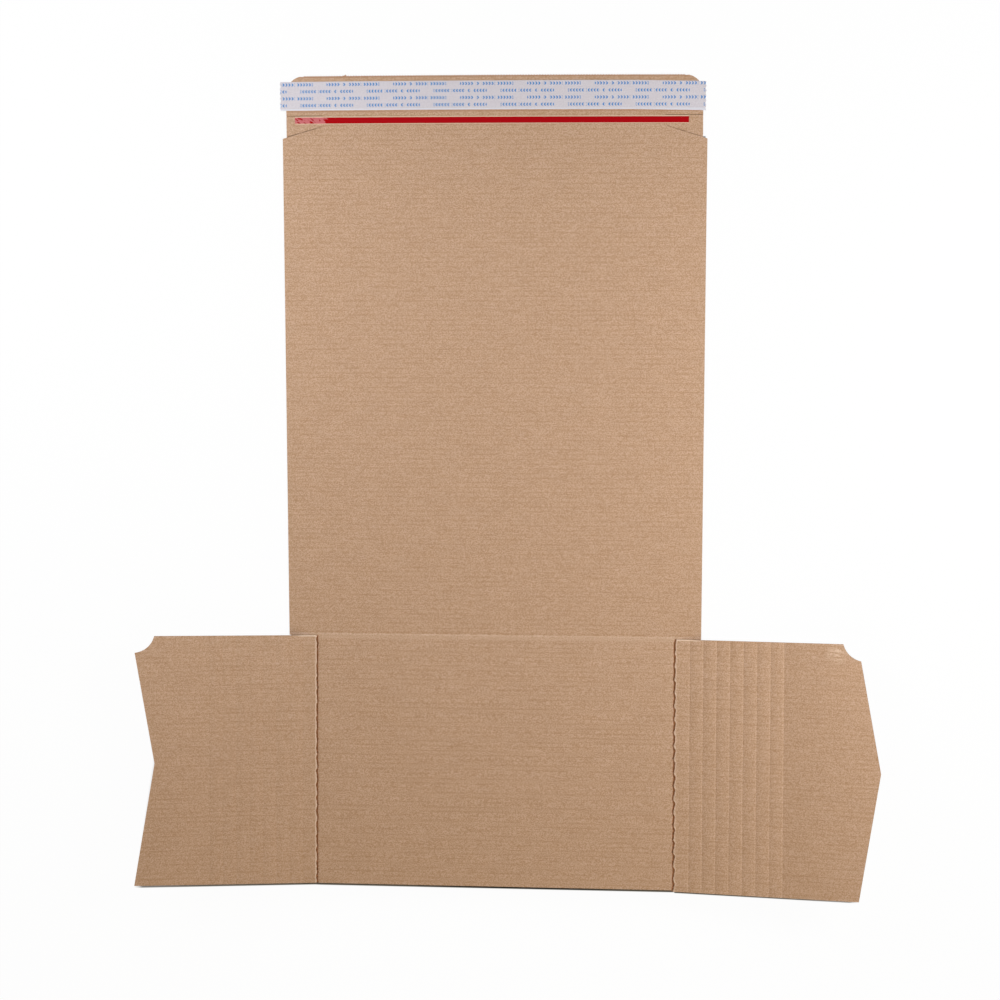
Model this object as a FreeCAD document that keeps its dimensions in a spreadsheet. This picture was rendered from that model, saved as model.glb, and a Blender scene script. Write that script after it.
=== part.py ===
import FreeCAD, Part
import os

import Sketcher
from FreeCAD import Placement, Rotation, Vector

# A die-cut book wrap mailer lying open, inside face up. Origin: centre of the wrap panel's underside.
# +X runs across the sheet, +Y along the wrap panel to its lead edge, and +Z up. Millimetres and degrees.

doc = FreeCAD.newDocument("BookWrapMailer")

# --- Sizes -----------------------------------------------------------------------------------------

SIZES = [
    ("board_thickness", 1.6, "E-flute corrugated board"),
    ("base_width", 270.0, "base panel, fold to fold"),
    ("base_depth", 190.0, "base panel, main crease to free edge"),
    ("base_tilt", 4.8, "how far the main crease lifts the base panel"),
    ("wrap_overhang", 20.0, "wrap panel past the base panel, each side"),
    ("wrap_length", 413.5, "main crease to lead edge"),
    ("wrap_corner_drop", 1.2, "wrap panel's lower corners past the main crease"),
    ("lead_inset", 2.5, "lead end narrower than the wrap panel, each side"),
    ("lead_corner_radius", 13.0, "rounded lead corners"),
    ("shoulder_drop", 46.0, "lead edge to the shoulders"),
    ("knife_width", 0.4, "width of a knife cut"),
    ("tab_cut_drop", 28.8, "lead edge to the straight cut of the tear tab"),
    ("tab_cut_length", 27.0, "straight cut of the tear tab"),
    ("tab_slant_run", 29.0, "slanted cut of the tear tab, across the sheet"),
    ("tab_slant_rise", 9.5, "slanted cut of the tear tab, along the sheet"),
    ("main_groove_width", 2.6, "main crease"),
    ("main_groove_depth", 0.55, "main crease"),
    ("fold_groove_width", 2.0, "flap folds"),
    ("fold_groove_depth", 0.6, "flap folds"),
    ("slot_length", 5.0, "perforation of the flap folds"),
    ("slot_width", 0.8, "perforation of the flap folds"),
    ("slot_pitch", 10.0, "perforation of the flap folds"),
    ("slot_first", 3.0, "main crease to the first slot"),
    ("flap_gap", 1.6, "main crease to the flaps' upper edges"),
    ("left_tilt", 10.0, "left flap above the base panel's plane"),
    ("left_top_reach", 138.5, "left flap at its upper edge"),
    ("left_notch_reach", 122.0, "left flap at the bottom of its notch"),
    ("left_notch_drop", 100.0, "main crease to the bottom of the notch"),
    ("left_bottom_reach", 137.0, "left flap at its lower edge"),
    ("left_step", 0.0, "left flap's lower edge past the base panel's"),
    ("right_tilt", 9.0, "right flap above the base panel's plane"),
    ("right_top_reach", 134.5, "right flap at its upper edge"),
    ("right_point_reach", 152.0, "right flap at its point"),
    ("right_point_drop", 95.0, "main crease to the point"),
    ("right_bottom_reach", 137.0, "right flap at its lower edge"),
    ("right_step", 1.0, "right flap's lower edge past the base panel's"),
    ("scoop_radius", 16.5, "round scoops at the flaps' upper corners"),
    ("scoop_reach", 138.8, "fold to the scoop's centre"),
    ("scoop_rise", 2.5, "scoop's centre above the main crease"),
    ("crease_first", 11.0, "fold to the first fill-height crease"),
    ("crease_pitch", 10.0, "fill-height creases"),
    ("crease_count", 8, "fill-height creases on each flap"),
    ("crease_width", 2.4, "fill-height creases"),
    ("crease_depth", 0.35, "fill-height creases"),
    ("liner_drop", 4.0, "lead edge to the release liner"),
    ("liner_width", 21.0, "release liner"),
    ("liner_thickness", 0.1, "release liner"),
    ("liner_left_overhang", 4.1, "release liner past the lead end, left"),
    ("liner_right_overhang", 1.1, "release liner past the lead end, right"),
    ("adhesive_width", 15.0, "adhesive strip, centred under the liner"),
    ("adhesive_margin", 4.0, "lead end's sides to the adhesive"),
    ("adhesive_thickness", 0.15, "adhesive strip"),
    ("strip_drop", 29.8, "lead edge to the tear strip"),
    ("strip_width", 4.0, "tear strip"),
    ("strip_thickness", 0.1, "tear strip"),
    ("strip_left_margin", 6.3, "lead end's left side to the tear strip"),
    ("strip_right_margin", 10.9, "lead end's right side to the tear strip"),
]

sizes = doc.addObject("Spreadsheet::Sheet", "Sizes")
for row, (alias, value, note) in enumerate(SIZES, start=1):
    sizes.set(f"A{row}", note)
    sizes.set(f"B{row}", str(value))
    sizes.setAlias(f"B{row}", alias)
doc.recompute()

# Places that several pieces share, as expressions on the sheet
half_base = "Sizes.base_width / 2"
half_wrap = "(Sizes.base_width / 2 + Sizes.wrap_overhang)"
half_lead = "(Sizes.base_width / 2 + Sizes.wrap_overhang - Sizes.lead_inset)"
crease_y = "-Sizes.wrap_length / 2"
lead_y = "Sizes.wrap_length / 2"


# --- Ways of drawing -------------------------------------------------------------------------------

def sketch_on(body, role, name):
    """An empty sketch on one of the body's own origin planes."""
    plane = next(f for f in body.Origin.OriginFeatures if f.Role == role)
    sketch = body.newObject("Sketcher::SketchObject", name)
    sketch.AttachmentSupport = [(plane, "")]
    sketch.MapMode = "FlatFace"
    return sketch


def bind_point(sketch, line, point, x, y):
    """Hold one point of a sketch at x, y from its origin, both as expressions."""
    for kind, expression in (("DistanceX", x), ("DistanceY", y)):
        value = sizes.evalExpression(expression)
        index = sketch.addConstraint(Sketcher.Constraint(kind, -1, 1, line, point, value))
        sketch.setExpression(f"Constraints[{index}]", expression)


def draw_outline(sketch, corners):
    """A closed outline of straight lines through corners, given as expressions."""
    first = sketch.GeometryCount
    points = [Vector(sizes.evalExpression(x), sizes.evalExpression(y), 0) for x, y in corners]
    count = len(points)
    for i in range(count):
        sketch.addGeometry(Part.LineSegment(points[i], points[(i + 1) % count]), False)
    for i in range(count):
        following = first + (i + 1) % count
        sketch.addConstraint(Sketcher.Constraint("Coincident", first + i, 2, following, 1))
    for i, (x, y) in enumerate(corners):
        bind_point(sketch, first + i, 1, x, y)


def draw_circle(sketch, x, y, radius):
    centre = Vector(sizes.evalExpression(x), sizes.evalExpression(y), 0)
    value = sizes.evalExpression(radius)
    circle = sketch.addGeometry(Part.Circle(centre, Vector(0, 0, 1), value), False)
    bind_point(sketch, circle, 3, x, y)
    index = sketch.addConstraint(Sketcher.Constraint("Radius", circle, value))
    sketch.setExpression(f"Constraints[{index}]", radius)


def pad_board(body, sketch, name):
    pad = body.newObject("PartDesign::Pad", name)
    pad.Profile = sketch
    pad.setExpression("Length", "Sizes.board_thickness")
    doc.recompute()
    return pad


def cut_through(body, sketch, name):
    """A pocket through everything, both ways from the sketch; it must take material away."""
    before = body.Shape.Volume
    pocket = body.newObject("PartDesign::Pocket", name)
    pocket.Profile = sketch
    pocket.Type = "ThroughAll"
    pocket.SideType = "Symmetric"
    doc.recompute()
    if body.Shape.Volume >= before:
        raise RuntimeError(f"{name} cuts nothing")
    return pocket


def repeat(body, feature, sketch, axis, name, reverse, pitch, count):
    pattern = body.newObject("PartDesign::LinearPattern", name)
    pattern.Originals = [feature]
    pattern.Direction = (sketch, [axis])
    pattern.Reversed = reverse
    pattern.setExpression("Length", f"{pitch} * ({count} - 1)")
    pattern.setExpression("Occurrences", count)
    body.Tip = pattern
    doc.recompute()


def wheel_radius(width, depth):
    """Radius of the creasing wheel that presses a groove of this width and depth."""
    return f"(({width}) ^ 2 / 4 + ({depth}) ^ 2) / (2 * {depth})"


# --- Wrap panel ------------------------------------------------------------------------------------
# The long panel that goes round the book, with its narrower lead end. The die cuts the two sides of
# each tear tab in the same stroke as the outline. Its own frame has the main crease on Y = 0.

def wrap_outline():
    shoulder = "Sizes.wrap_length - Sizes.shoulder_drop"
    slope = "Sizes.tab_slant_rise / Sizes.tab_slant_run"
    slant_x = f"{half_wrap} - Sizes.tab_slant_run"
    slant_y = f"{shoulder} + Sizes.tab_slant_rise"
    tab_x = f"{half_lead} - Sizes.tab_cut_length"
    tab_y = "Sizes.wrap_length - Sizes.tab_cut_drop"
    right = [
        (half_base, "0"),
        (half_base, "-Sizes.wrap_corner_drop"),
        (half_wrap, "-Sizes.wrap_corner_drop"),
        (half_wrap, shoulder),
        (slant_x, slant_y),
        (slant_x, f"{slant_y} + Sizes.knife_width"),
        (half_lead, f"{shoulder} + Sizes.lead_inset * {slope} + Sizes.knife_width"),
        (half_lead, tab_y),
        (tab_x, tab_y),
        (tab_x, f"{tab_y} + Sizes.knife_width"),
        (half_lead, f"{tab_y} + Sizes.knife_width"),
        (half_lead, "Sizes.wrap_length"),
    ]
    left = [(f"-({x})", y) for x, y in reversed(right)]
    return right + left


wrap_panel = doc.addObject("PartDesign::Body", "wrap_panel")
wrap_sketch = sketch_on(wrap_panel, "XY_Plane", "wrap_outline")
draw_outline(wrap_sketch, wrap_outline())
wrap_pad = pad_board(wrap_panel, wrap_sketch, "wrap_board")
lead_corners = [
    f"Edge{number}"
    for number, edge in enumerate(wrap_pad.Shape.Edges, start=1)
    if edge.BoundBox.ZLength > 0.9 * sizes.board_thickness
    and abs(edge.BoundBox.Center.y - sizes.wrap_length) < 1e-6
]
lead_round = wrap_panel.newObject("PartDesign::Fillet", "lead_corners")
lead_round.Base = (wrap_pad, lead_corners)
lead_round.setExpression("Radius", "Sizes.lead_corner_radius")
doc.recompute()

# --- Base panel ------------------------------------------------------------------------------------
# The book lies here. Each flap fold is perforated: half of every slot is cut from the base panel and
# half from the flap beside it.

slot_count = "floor((Sizes.base_depth - Sizes.slot_first) / Sizes.slot_pitch)"


def slot_half(side):
    """Corners of half a slot at the fold on X = 0, reaching to the given side (1 or -1)."""
    reach = f"{side} * Sizes.slot_width / 2"
    top = "-Sizes.slot_first"
    bottom = "-(Sizes.slot_first + Sizes.slot_length)"
    return [("0", top), (reach, top), (reach, bottom), ("0", bottom)]


base_panel = doc.addObject("PartDesign::Body", "base_panel")
base_sketch = sketch_on(base_panel, "XY_Plane", "base_outline")
draw_outline(base_sketch, [
    (f"-{half_base}", "0"),
    (half_base, "0"),
    (half_base, "-Sizes.base_depth"),
    (f"-{half_base}", "-Sizes.base_depth"),
])
pad_board(base_panel, base_sketch, "base_board")
base_slot_sketch = sketch_on(base_panel, "XY_Plane", "base_slot_outline")
for side in (-1, 1):
    draw_outline(base_slot_sketch, [
        (f"{side} * {half_base} + {x}", y) for x, y in slot_half(-side)
    ])
base_slot = cut_through(base_panel, base_slot_sketch, "base_slot")
repeat(base_panel, base_slot, base_slot_sketch, "V_Axis", "base_slots", True,
       "Sizes.slot_pitch", slot_count)


# --- Side flaps ------------------------------------------------------------------------------------
# Each flap starts at its fold on X = 0. The outer edges are cut nested, so the left flap has a notch
# where the right flap has a point. Creases every centimetre let the flaps bend at the book's height.

def make_flap(name, side, tip, tip_drop):
    """side is -1 for the left flap and 1 for the right; tip is where the slanted edges meet."""
    bottom = f"-(Sizes.base_depth + Sizes.{name}_step)"
    flap = doc.addObject("PartDesign::Body", f"{name}_flap")
    outline = sketch_on(flap, "XY_Plane", f"{name}_outline")
    draw_outline(outline, [
        ("0", "-Sizes.flap_gap"),
        (f"{side} * Sizes.{name}_top_reach", "-Sizes.flap_gap"),
        (f"{side} * Sizes.{tip}", f"-Sizes.{tip_drop}"),
        (f"{side} * Sizes.{name}_bottom_reach", bottom),
        ("0", bottom),
    ])
    pad_board(flap, outline, f"{name}_board")

    scoop = sketch_on(flap, "XY_Plane", f"{name}_scoop_outline")
    draw_circle(scoop, f"{side} * Sizes.scoop_reach", "Sizes.scoop_rise", "Sizes.scoop_radius")
    cut_through(flap, scoop, f"{name}_scoop")

    slot_sketch = sketch_on(flap, "XY_Plane", f"{name}_slot_outline")
    draw_outline(slot_sketch, slot_half(side))
    slot = cut_through(flap, slot_sketch, f"{name}_slot")
    repeat(flap, slot, slot_sketch, "V_Axis", f"{name}_slots", True,
           "Sizes.slot_pitch", slot_count)

    crease_sketch = sketch_on(flap, "XZ_Plane", f"{name}_crease_section")
    wheel = wheel_radius("Sizes.crease_width", "Sizes.crease_depth")
    wheel_z = f"Sizes.board_thickness + {wheel} - Sizes.crease_depth"
    draw_circle(crease_sketch, f"{side} * Sizes.crease_first", wheel_z, wheel)
    crease = cut_through(flap, crease_sketch, f"{name}_crease")
    repeat(flap, crease, crease_sketch, "H_Axis", f"{name}_creases", side < 0,
           "Sizes.crease_pitch", "Sizes.crease_count")

    flap.Placement = Placement(Vector(), Rotation(Vector(0, 1, 0), 1))
    flap.setExpression("Placement.Base.x", f"{side} * {half_base}")
    flap.setExpression("Placement.Rotation.Angle", f"{-side} * Sizes.{name}_tilt")
    return flap


left_flap = make_flap("left", -1, "left_notch_reach", "left_notch_drop")
right_flap = make_flap("right", 1, "right_point_reach", "right_point_drop")


# --- Board -----------------------------------------------------------------------------------------
# One sheet: the flaps join the base panel at their folds, and the base panel joins the wrap panel at
# the main crease. Both kinds of fold are pressed in from the inside face.

def make_wheel(name, axis, angle, width, depth):
    """The creasing wheel's track: a cylinder laid on its side that dips into the inside face."""
    wheel = doc.addObject("Part::Cylinder", name)
    wheel.Placement = Placement(Vector(), Rotation(axis, angle))
    radius = wheel_radius(width, depth)
    wheel.setExpression("Radius", radius)
    wheel.setExpression("Placement.Base.z", f"Sizes.board_thickness + {radius} - {depth}")
    return wheel


fold_wheels = []
for side, name in ((-1, "left"), (1, "right")):
    wheel = make_wheel(f"{name}_fold_wheel", Vector(1, 0, 0), 90,
                       "Sizes.fold_groove_width", "Sizes.fold_groove_depth")
    run_out = "Sizes.fold_groove_width"
    wheel.setExpression("Height", f"Sizes.base_depth + Sizes.{name}_step + 2 * {run_out}")
    wheel.setExpression("Placement.Base.x", f"{side} * {half_base}")
    wheel.setExpression("Placement.Base.y", run_out)
    fold_wheels.append(wheel)

joined_tray = doc.addObject("Part::MultiFuse", "joined_tray")
joined_tray.Shapes = [base_panel, left_flap, right_flap]
fold_grooves = doc.addObject("Part::MultiFuse", "fold_grooves")
fold_grooves.Shapes = fold_wheels
tray = doc.addObject("Part::Cut", "tray")
tray.Base = joined_tray
tray.Tool = fold_grooves
tray.Placement = Placement(Vector(), Rotation(Vector(1, 0, 0), -1))
tray.setExpression("Placement.Rotation.Angle", "-Sizes.base_tilt")

main_wheel = make_wheel("main_wheel", Vector(0, 1, 0), 90,
                        "Sizes.main_groove_width", "Sizes.main_groove_depth")
main_wheel.setExpression("Height", "Sizes.base_width")
main_wheel.setExpression("Placement.Base.x", f"-{half_base}")

joined_sheet = doc.addObject("Part::MultiFuse", "joined_sheet")
joined_sheet.Shapes = [wrap_panel, tray]
board = doc.addObject("Part::Cut", "board")
board.Base = joined_sheet
board.Tool = main_wheel
board.setExpression("Placement.Base.y", crease_y)


# --- Closure ---------------------------------------------------------------------------------------
# The peel-and-seal strip lies inside the lead end, under its release liner. The tear strip starts
# between the two cuts of the left tear tab.

def make_tape(name, left, right, top, width, bottom, thickness):
    """A flat strip between left and right, hanging down the sheet from top."""
    tape = doc.addObject("Part::Box", name)
    tape.setExpression("Length", f"({right}) - ({left})")
    tape.setExpression("Width", width)
    tape.setExpression("Height", thickness)
    tape.setExpression("Placement.Base.x", left)
    tape.setExpression("Placement.Base.y", f"{top} - {width}")
    tape.setExpression("Placement.Base.z", bottom)
    return tape


liner_top = f"{lead_y} - Sizes.liner_drop"
adhesive_strip = make_tape(
    "adhesive_strip",
    left=f"-{half_lead} + Sizes.adhesive_margin",
    right=f"{half_lead} - Sizes.adhesive_margin",
    top=f"{liner_top} - (Sizes.liner_width - Sizes.adhesive_width) / 2",
    width="Sizes.adhesive_width",
    bottom="Sizes.board_thickness",
    thickness="Sizes.adhesive_thickness",
)
release_liner = make_tape(
    "release_liner",
    left=f"-{half_lead} - Sizes.liner_left_overhang",
    right=f"{half_lead} + Sizes.liner_right_overhang",
    top=liner_top,
    width="Sizes.liner_width",
    bottom="Sizes.board_thickness + Sizes.adhesive_thickness",
    thickness="Sizes.liner_thickness",
)
tear_strip = make_tape(
    "tear_strip",
    left=f"-{half_lead} + Sizes.strip_left_margin",
    right=f"{half_lead} - Sizes.strip_right_margin",
    top=f"{lead_y} - Sizes.strip_drop",
    width="Sizes.strip_width",
    bottom="Sizes.board_thickness",
    thickness="Sizes.strip_thickness",
)

# --- Check and write -------------------------------------------------------------------------------

doc.recompute()
for item in doc.Objects:
    if "Invalid" in item.State or "Error" in item.State:
        raise RuntimeError(f"{item.Label} failed: {item.State}")

os.makedirs("parts", exist_ok=True)
for piece in (board, adhesive_strip, release_liner, tear_strip):
    shape = piece.Shape
    if shape.isNull() or not shape.isValid() or len(shape.Solids) != 1:
        raise RuntimeError(f"{piece.Label} is not one valid solid")
    shape.exportStep(f"parts/{piece.Label}.step")
    print(piece.Label, round(shape.Volume, 1), shape.BoundBox)
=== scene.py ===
import math

import bmesh
import bpy
from mathutils import Euler, Matrix, Vector
from mathutils import noise
from mathutils.geometry import intersect_line_sphere_2d


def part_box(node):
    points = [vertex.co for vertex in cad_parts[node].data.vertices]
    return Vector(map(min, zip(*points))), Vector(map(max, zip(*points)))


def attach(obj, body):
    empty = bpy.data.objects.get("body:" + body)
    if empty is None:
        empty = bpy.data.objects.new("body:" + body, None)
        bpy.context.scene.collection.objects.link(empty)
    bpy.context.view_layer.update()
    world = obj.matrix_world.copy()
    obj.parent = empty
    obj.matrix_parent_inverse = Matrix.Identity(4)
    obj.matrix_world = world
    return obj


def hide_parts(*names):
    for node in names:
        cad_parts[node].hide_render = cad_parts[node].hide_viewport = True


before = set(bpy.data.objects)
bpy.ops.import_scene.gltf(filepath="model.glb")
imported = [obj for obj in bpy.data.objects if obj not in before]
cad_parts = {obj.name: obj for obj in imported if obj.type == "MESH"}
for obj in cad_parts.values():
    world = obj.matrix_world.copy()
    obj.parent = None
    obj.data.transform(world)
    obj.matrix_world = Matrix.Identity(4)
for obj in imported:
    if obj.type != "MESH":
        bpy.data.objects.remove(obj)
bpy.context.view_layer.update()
mm = 0.001


# --- Blank -----------------------------------------------------------------------------------------
# The mailer is one sheet of E-flute corrugated board, stamped out by a single cutting die. It is drawn
# here flat, inside face up, with the main crease on Y = 0, and each layer of the board is cut from it.

hair = 0.001 * mm
board_low, board_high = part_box("board")
half_base = 135 * mm
base_depth = 190 * mm
half_wrap = 155 * mm
wrap_sides = {
    # side: the wrap panel's reach from the middle, at its shoulder and at the main crease
    -1: (155.5 * mm, 156.1 * mm),
    1: (155.0 * mm, 153.9 * mm),
}
wrap_length = 2 * board_high.y
wrap_corner_drop = 1.25 * mm
half_lead = 152.2 * mm
lead_off_centre = -0.4 * mm
lead_corner_radius = 13 * mm
lead_corner_steps = 8
tab_cut_y = wrap_length - 28.8 * mm
tab_cut_length = 27 * mm
tab_slant_run = 29 * mm
shoulder_cuts = {
    # side: how far the shoulder lies below the lead edge, and the rise of the slanted cut from there
    -1: (44.9 * mm, 8.2 * mm),
    1: (45.6 * mm, 8.9 * mm),
}
slit_y = -1.45 * mm
scoop_radius = 16.5 * mm
scoop_steps = 12
scoop_reach = {-1: 138.2 * mm, 1: 139.8 * mm}
scoop_rise = 2.5 * mm
tooth_pitch = 2.0 * mm
tooth_depth = 0.8 * mm
tooth_proud = 0.28 * mm
tie_nick_x = -108.9 * mm
tie_nick_width = 2.4 * mm
tie_nick_height = 0.6 * mm
flap_cuts = {
    # side: reach at the slit, reach and drop of the tip, reach at the free edge, step past the base's edge
    -1: (138.8 * mm, 122.1 * mm, 97.5 * mm, 137.4 * mm, 0.0),
    1: (134.5 * mm, 152 * mm, 96.2 * mm, 137 * mm, 1 * mm),
}


def flap_outline(side):
    """One flap's corners on the +X side, from the slit round the scoop to the free edge."""
    top_reach, tip_reach, tip_drop, bottom_reach, step = flap_cuts[side]
    slit_end = Vector((half_base + top_reach, slit_y))
    tip = Vector((half_base + tip_reach, -tip_drop))
    scoop_centre = Vector((half_base + scoop_reach[side], scoop_rise))
    starts = intersect_line_sphere_2d(Vector((half_base, slit_y)), slit_end, scoop_centre, scoop_radius)
    ends = intersect_line_sphere_2d(slit_end, tip, scoop_centre, scoop_radius)
    start = min((point for point in starts if point), key=lambda point: point.x)
    end = min((point for point in ends if point), key=lambda point: point.y)
    first = math.atan2(start.y - scoop_centre.y, start.x - scoop_centre.x) % math.tau
    last = math.atan2(end.y - scoop_centre.y, end.x - scoop_centre.x) % math.tau
    scoop = []
    for i in range(scoop_steps + 1):
        turn = first + (last - first) * i / scoop_steps
        scoop.append(scoop_centre + scoop_radius * Vector((math.cos(turn), math.sin(turn))))
    bottom = -base_depth - step
    return scoop + [tip, Vector((half_base + bottom_reach, bottom)), Vector((half_base, bottom))]


def half_outline(side, knife):
    """Half of the blank's corners, as if on the +X side, from the lead corner down to the free edge."""
    wide, crease_wide = wrap_sides[side]
    lead = half_lead + side * lead_off_centre
    drop, rise = shoulder_cuts[side]
    shoulder_y = wrap_length - drop
    slant_side = shoulder_y + (wide - lead) * rise / tab_slant_run
    wrap = [
        (lead, wrap_length),
        (lead, tab_cut_y + knife),
        (lead - tab_cut_length, tab_cut_y + knife),
        (lead - tab_cut_length, tab_cut_y),
        (lead, tab_cut_y),
        (lead, slant_side + knife),
        (wide - tab_slant_run, shoulder_y + rise + knife),
        (wide - tab_slant_run, shoulder_y + rise),
        (wide, shoulder_y),
        (crease_wide, -wrap_corner_drop),
        (half_base, -wrap_corner_drop),
        (half_base, slit_y),
    ]
    base = [(half_base, -base_depth)] if flap_cuts[side][4] else []
    return [Vector(point) for point in wrap] + flap_outline(side) + [Vector(point) for point in base]


def stamp_blank(knife):
    """The blank as one flat face, with round lead corners, teeth, and knife cuts of this width."""
    blank = bmesh.new()
    right = half_outline(1, knife)
    left = [Vector((-point.x, point.y)) for point in reversed(half_outline(-1, knife))]
    blank.faces.new([blank.verts.new((point.x, point.y, 0)) for point in right + left])
    corners = [v for v in blank.verts if v.co.y > wrap_length - tooth_depth]
    bmesh.ops.bevel(
        blank, geom=corners, offset=lead_corner_radius, affect="VERTICES",
        segments=lead_corner_steps, profile=0.5, material=-1,
    )
    lead_edge = max(blank.edges, key=lambda e: (e.verts[0].co + e.verts[1].co).y)
    teeth = int(lead_edge.calc_length() / tooth_pitch)
    ends = set(lead_edge.verts)
    bmesh.ops.subdivide_edges(blank, edges=[lead_edge], cuts=2 * teeth - 1)
    points = [v for v in blank.verts if v.co.y > wrap_length - hair and v not in ends]
    points.sort(key=lambda v: v.co.x)
    bmesh.ops.translate(blank, vec=(0, tooth_proud, 0), verts=points)
    bmesh.ops.translate(blank, vec=(0, -tooth_depth, 0), verts=points[::2])
    nick = [v for v in points if abs(v.co.x - tie_nick_x) < tie_nick_width / 2]
    bmesh.ops.translate(blank, vec=(0, tie_nick_height, 0), verts=nick)
    return blank


def rule(sheet, faces, places, axis):
    """Cut these faces along straight lines at places on an axis, 0 for X and 1 for Y."""
    normal = Vector((1 - axis, axis, 0))
    ahead = list(faces)
    for place in sorted(places):
        edges = dict.fromkeys(e for f in ahead for e in f.edges)
        corners = dict.fromkeys(v for f in ahead for v in f.verts)
        cut = bmesh.ops.bisect_plane(
            sheet, geom=[*ahead, *edges, *corners], dist=hair, plane_co=normal * place, plane_no=normal,
        )
        found = [f for f in cut["geom"] if isinstance(f, bmesh.types.BMFace)]
        ahead = [f for f in found if f.calc_center_median()[axis] > place]


# --- Creases and folds -----------------------------------------------------------------------------
# Blunt rules in the same die press the main crease and eight fill-height creases in each flap. The flap
# folds are cut-crease rules: wavy cuts with uncut bridges between them, which leave a torn lip proud of
# the flap's side.

caliper = 1.6 * mm
flute_pitch = 3.55 * mm
washboard = 0.03 * mm
main_crease_middle = 0.7 * mm
main_crease_width = 2.4 * mm
main_crease_depth = 0.3 * mm
main_crease_ends = (-half_wrap, half_base + 8 * mm)
main_crease_rows = (-0.5, -0.25, 0, 0.25, 0.5)
main_crease_clear = 0.6 * main_crease_width
last_row_gap = 1 * mm
crease_first = 11 * mm
crease_pitch = 10 * mm
crease_count = 8
crease_width = 2.0 * mm
crease_depth = {-1: 0.22 * mm, 1: 0.31 * mm}
crease_pillow = {-1: 0.02 * mm, 1: 0.04 * mm}
fold_section = [
    # offset outwards from the fold, and the inside face's height there
    (-2.6 * mm, 0.0),
    (-1.3 * mm, -0.06 * mm),
    (-0.80 * mm, -0.45 * mm),
    (-0.10 * mm, -1.00 * mm),
    (0.55 * mm, -0.30 * mm),
    (1.05 * mm, 0.30 * mm),
    (1.9 * mm, 0.12 * mm),
    (2.8 * mm, 0.0),
]
fold_cut = (-0.80 * mm, 0.55 * mm)
fold_top = 2 * slit_y
fold_wave = {-1: 0.40 * mm, 1: 0.80 * mm}
fold_overtone = 0.3
fold_wave_start = 0.35
fold_wave_grows_over = 110 * mm
fold_rattle = 0.675 * mm
fold_rattle_grain = 2.2 * mm
fold_rattle_seed = 2.7
fold_shift = {-1: 0.1 * mm, 1: -0.9 * mm}
base_side_follows = 0.5
slot_first = 3 * mm
slot_length = 5 * mm
torn_slot_length = 8.6 * mm
slot_pitch = 10 * mm
flap_lean = {-1: math.radians(10), 1: math.radians(9)}
base_lean = math.radians(4.8)
lead_skew = math.tan(math.radians(0.2))
lead_bow = 0.5 * mm
lead_creep = 0.25 * mm
skew_from = board_high.y - 120 * mm
skew_to = board_high.y - 50 * mm
sharp_edge = math.radians(50)


def dip(offset, width, depth):
    """Height of a pressed groove at an offset from its middle."""
    if abs(offset) >= width / 2:
        return 0.0
    return -depth * (1 + math.cos(math.tau * offset / width)) / 2


def fold_height(offset):
    """Height of the torn and pressed paper at an offset outwards from a flap fold."""
    for (near, low), (far, high) in zip(fold_section, fold_section[1:]):
        if near <= offset <= far:
            return low + (high - low) * (offset - near) / (far - near)
    return 0.0


def inside_height(x, y):
    """Height of the board's inside face over its flat underside."""
    height = caliper - washboard * (1 - math.cos(math.tau * y / flute_pitch)) / 2
    if main_crease_ends[0] < x < main_crease_ends[1]:
        height += dip(y - main_crease_middle, main_crease_width, main_crease_depth)
    if y > slit_y:
        return height
    side = 1 if x > 0 else -1
    outwards = abs(x) - half_base
    nearest = round((outwards - crease_first) / crease_pitch)
    nearest = max(0, min(crease_count - 1, nearest))
    height += dip(outwards - crease_first - nearest * crease_pitch, crease_width, crease_depth[side])
    last_crease = crease_first + (crease_count - 1) * crease_pitch
    if crease_first < outwards < last_crease:
        along = (outwards - crease_first) / crease_pitch
        height += crease_pillow[side] * abs(math.sin(math.pi * along))
    return height + fold_height(outwards)


def crease_columns(offsets):
    """Places across the sheet where creases and folds need a line of points, for both flaps."""
    places = [half_base + offset for offset, _ in fold_section]
    for i in range(crease_count):
        middle = half_base + crease_first + i * crease_pitch
        places += [middle + offset * crease_width for offset in offsets]
    return places + [-place for place in places]


def flute_rows(per_flute):
    """Places along the sheet where the flutes and the main crease need a line of points."""
    step = flute_pitch / per_flute
    lowest = math.ceil(-base_depth / step)
    highest = math.floor((wrap_length - last_row_gap) / step)
    rows = [i * step for i in range(lowest, highest + 1)]
    rows = [row for row in rows if abs(row - main_crease_middle) > main_crease_clear]
    return rows + [main_crease_middle + main_crease_width * share for share in main_crease_rows]


def rule_blank(knife, per_flute, across_wrap, crease_offsets):
    """A flat blank with the lines of points that pressing and folding need."""
    blank = stamp_blank(knife)
    rule(blank, blank.faces, flute_rows(per_flute), axis=1)
    rule(blank, blank.faces, across_wrap, axis=0)
    tray = [f for f in blank.faces if f.calc_center_median().y < 0]
    rule(blank, tray, crease_columns(crease_offsets), axis=0)
    return blank


def in_slot(y, length):
    """Whether a place along a flap fold is in a cut of this length, not on a bridge."""
    return y < -slot_first and (-y - slot_first) % slot_pitch < length


def cut_slots(sheet, section, length):
    """Open the cuts between the bridges of both flap folds."""
    near, far = section
    opened = []
    for face in sheet.faces:
        middle = face.calc_center_median()
        if near < abs(middle.x) - half_base < far and in_slot(middle.y, length):
            opened.append(face)
    bmesh.ops.delete(sheet, geom=opened, context="FACES")


def drift(side, y):
    """How far the cut-crease rule wanders outwards from the straight fold."""
    turn = math.tau * (-y - slot_first) / slot_pitch
    growth = min(1, fold_wave_start - y / fold_wave_grows_over)
    wave = growth * fold_wave[side] * (math.sin(turn) + fold_overtone * math.sin(2 * turn))
    return wave + fold_rattle * noise.noise(Vector((side, y / fold_rattle_grain, fold_rattle_seed)))


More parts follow.
